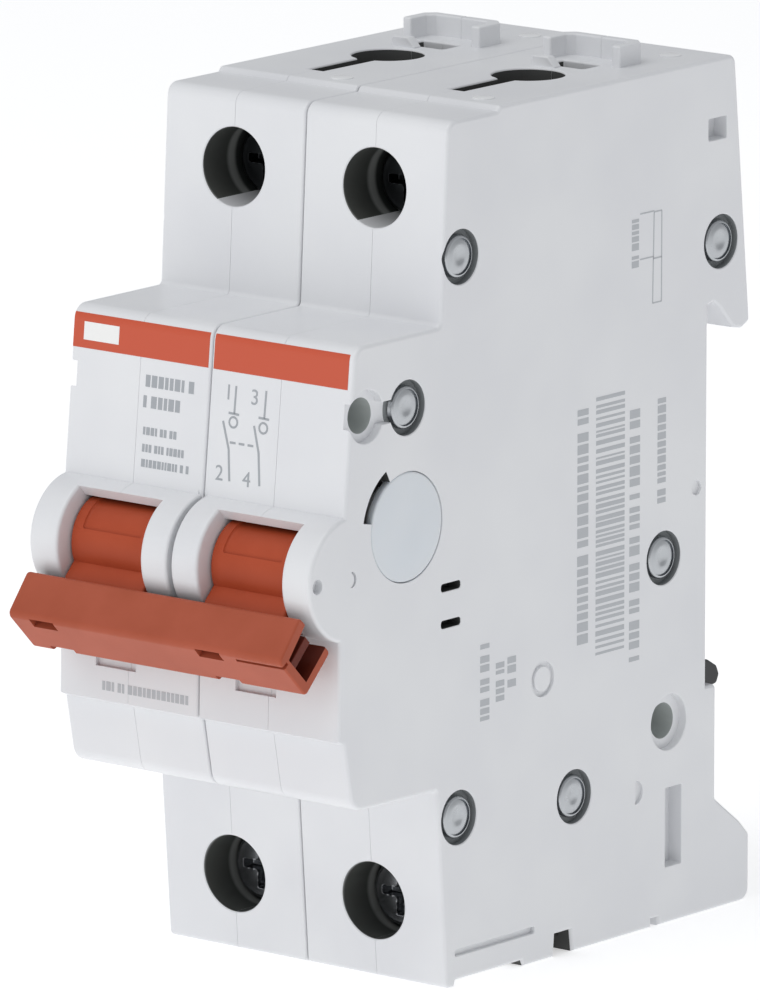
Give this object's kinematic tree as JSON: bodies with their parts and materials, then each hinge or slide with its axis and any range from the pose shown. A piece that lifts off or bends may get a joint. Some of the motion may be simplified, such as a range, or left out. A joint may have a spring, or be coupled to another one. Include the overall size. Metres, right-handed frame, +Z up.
{
  "type": "modular switch disconnector",
  "caption": "Modular DIN-rail switch disconnector with toggle handles under a shared tie bar and screw clamp terminals at top and bottom.",
  "frame": {"origin": "on the plane where the housing meets the front of the DIN rail, at mid height of the 45 mm nose, between the two poles", "axes": "+X across the poles to the right, +Y back towards the rail, +Z up with the line terminals"},
  "size_m": [0.035, 0.0722, 0.0875],
  "materials": {
    "housing": "moulded, semi-gloss, light grey",
    "red_handle": "moulded, satin, brick red",
    "black_plastic": "moulded, satin",
    "cap_plastic": "moulded, bluish white",
    "carrier_plastic": "moulded, glass filled",
    "zinc_plated_steel": "bright zinc plated",
    "spring_steel": "drawn wire",
    "copper": "stamped, bright",
    "copper_braid": "braided, dull",
    "contact_silver": "silver alloy"
  },
  "bodies": {
    "housing": {"carrier_pin_1": "zinc_plated_steel", "carrier_pin_2": "zinc_plated_steel", "contact_spring_1": "spring_steel", "contact_spring_2": "spring_steel", "fixed_contact_1": "contact_silver", "fixed_contact_2": "contact_silver", "flexible_braid_1": "copper_braid", "flexible_braid_2": "copper_braid", "line_bar_1": "copper", "line_bar_2": "copper", "load_bar_1": "copper", "load_bar_2": "copper", "pole_1_left_shell": "housing", "pole_1_right_shell": "housing", "pole_2_left_shell": "housing", "pole_2_right_shell": "housing", "rivet_1": "zinc_plated_steel", "rivet_2": "zinc_plated_steel", "rivet_3": "zinc_plated_steel", "rivet_4": "zinc_plated_steel", "rivet_5": "zinc_plated_steel", "rivet_6": "zinc_plated_steel", "side_plug_left": "cap_plastic", "side_plug_right": "cap_plastic", "toggle_pin_1": "zinc_plated_steel", "toggle_pin_2": "zinc_plated_steel", "toggle_spring_1": "spring_steel", "toggle_spring_2": "spring_steel"},
    "handle": {"handle_tie_bar": "red_handle", "toggle_1": "red_handle", "toggle_2": "red_handle"},
    "carrier_1": {"contact_carrier_1": "carrier_plastic", "contact_arm_1": "copper", "moving_contact_1": "contact_silver"},
    "link_1": {"drive_link_1": "spring_steel"},
    "rail_clip_1": {"rail_clip_1": "black_plastic"},
    "line_screw_1": {"line_screw_1": "zinc_plated_steel"},
    "line_cage_1": {"line_cage_1": "zinc_plated_steel"},
    "load_screw_1": {"load_screw_1": "zinc_plated_steel"},
    "load_cage_1": {"load_cage_1": "zinc_plated_steel"},
    "carrier_2": {"contact_carrier_2": "carrier_plastic", "contact_arm_2": "copper", "moving_contact_2": "contact_silver"},
    "link_2": {"drive_link_2": "spring_steel"},
    "rail_clip_2": {"rail_clip_2": "black_plastic"},
    "line_screw_2": {"line_screw_2": "zinc_plated_steel"},
    "line_cage_2": {"line_cage_2": "zinc_plated_steel"},
    "load_screw_2": {"load_screw_2": "zinc_plated_steel"},
    "load_cage_2": {"load_cage_2": "zinc_plated_steel"}
  },
  "joints": [
    {"name": "handle_turn", "type": "hinge", "parent": "housing", "child": "handle", "pos_m": [0, -0.0553, 0.0003], "axis": [-1, 0, 0], "range_deg": [0, 90]},
    {"name": "carrier_1_swing", "type": "hinge", "parent": "housing", "child": "carrier_1", "pos_m": [-0.00875, -0.0345, -0.01], "axis": [1, 0, 0], "range_deg": [0, 18], "deforming": ["contact_spring_1", "flexible_braid_1"]},
    {"name": "link_1_swing", "type": "hinge", "parent": "handle", "child": "link_1", "pos_m": [-0.00875, -0.05304, 0.00256], "axis": [1, 0, 0], "range_deg": [0, 94.16]},
    {"name": "rail_clip_1_slide", "type": "slide", "parent": "housing", "child": "rail_clip_1", "axis": [0, 0, -1], "range_m": [0, 0.0035], "stiffness_N_per_m": 1500},
    {"name": "line_screw_1_turn", "type": "hinge", "parent": "housing", "child": "line_screw_1", "pos_m": [-0.00875, -0.036, 0.035], "axis": [0, 1, 0], "range_deg": [0, 1350.1]},
    {"name": "line_cage_1_slide", "type": "slide", "parent": "housing", "child": "line_cage_1", "axis": [0, -1, 0], "range_m": [0, 0.003]},
    {"name": "load_screw_1_turn", "type": "hinge", "parent": "housing", "child": "load_screw_1", "pos_m": [-0.00875, -0.037, -0.035], "axis": [0, 1, 0], "range_deg": [0, 1350.1]},
    {"name": "load_cage_1_slide", "type": "slide", "parent": "housing", "child": "load_cage_1", "axis": [0, -1, 0], "range_m": [0, 0.003]},
    {"name": "carrier_2_swing", "type": "hinge", "parent": "housing", "child": "carrier_2", "pos_m": [0.00875, -0.0345, -0.01], "axis": [1, 0, 0], "range_deg": [0, 18], "deforming": ["contact_spring_2", "flexible_braid_2"]},
    {"name": "link_2_swing", "type": "hinge", "parent": "handle", "child": "link_2", "pos_m": [0.00875, -0.05304, 0.00256], "axis": [1, 0, 0], "range_deg": [0, 94.16]},
    {"name": "rail_clip_2_slide", "type": "slide", "parent": "housing", "child": "rail_clip_2", "axis": [0, 0, -1], "range_m": [0, 0.0035], "stiffness_N_per_m": 1500},
    {"name": "line_screw_2_turn", "type": "hinge", "parent": "housing", "child": "line_screw_2", "pos_m": [0.00875, -0.036, 0.035], "axis": [0, 1, 0], "range_deg": [0, 1350.1]},
    {"name": "line_cage_2_slide", "type": "slide", "parent": "housing", "child": "line_cage_2", "axis": [0, -1, 0], "range_m": [0, 0.003]},
    {"name": "load_screw_2_turn", "type": "hinge", "parent": "housing", "child": "load_screw_2", "pos_m": [0.00875, -0.037, -0.035], "axis": [0, 1, 0], "range_deg": [0, 1350.1]},
    {"name": "load_cage_2_slide", "type": "slide", "parent": "housing", "child": "load_cage_2", "axis": [0, -1, 0], "range_m": [0, 0.003]}
  ],
  "couplings": [
    {"joint": "carrier_1_swing", "follows": "handle_turn", "ratio": 0.2},
    {"joint": "link_1_swing", "follows": "handle_turn", "ratio": 1.0462},
    {"joint": "line_screw_1_turn", "follows": "line_cage_1_slide", "rad_per_m": 7854},
    {"joint": "load_screw_1_turn", "follows": "load_cage_1_slide", "rad_per_m": 7854},
    {"joint": "carrier_2_swing", "follows": "handle_turn", "ratio": 0.2},
    {"joint": "link_2_swing", "follows": "handle_turn", "ratio": 1.0462},
    {"joint": "line_screw_2_turn", "follows": "line_cage_2_slide", "rad_per_m": 7854},
    {"joint": "load_screw_2_turn", "follows": "load_cage_2_slide", "rad_per_m": 7854}
  ]
}
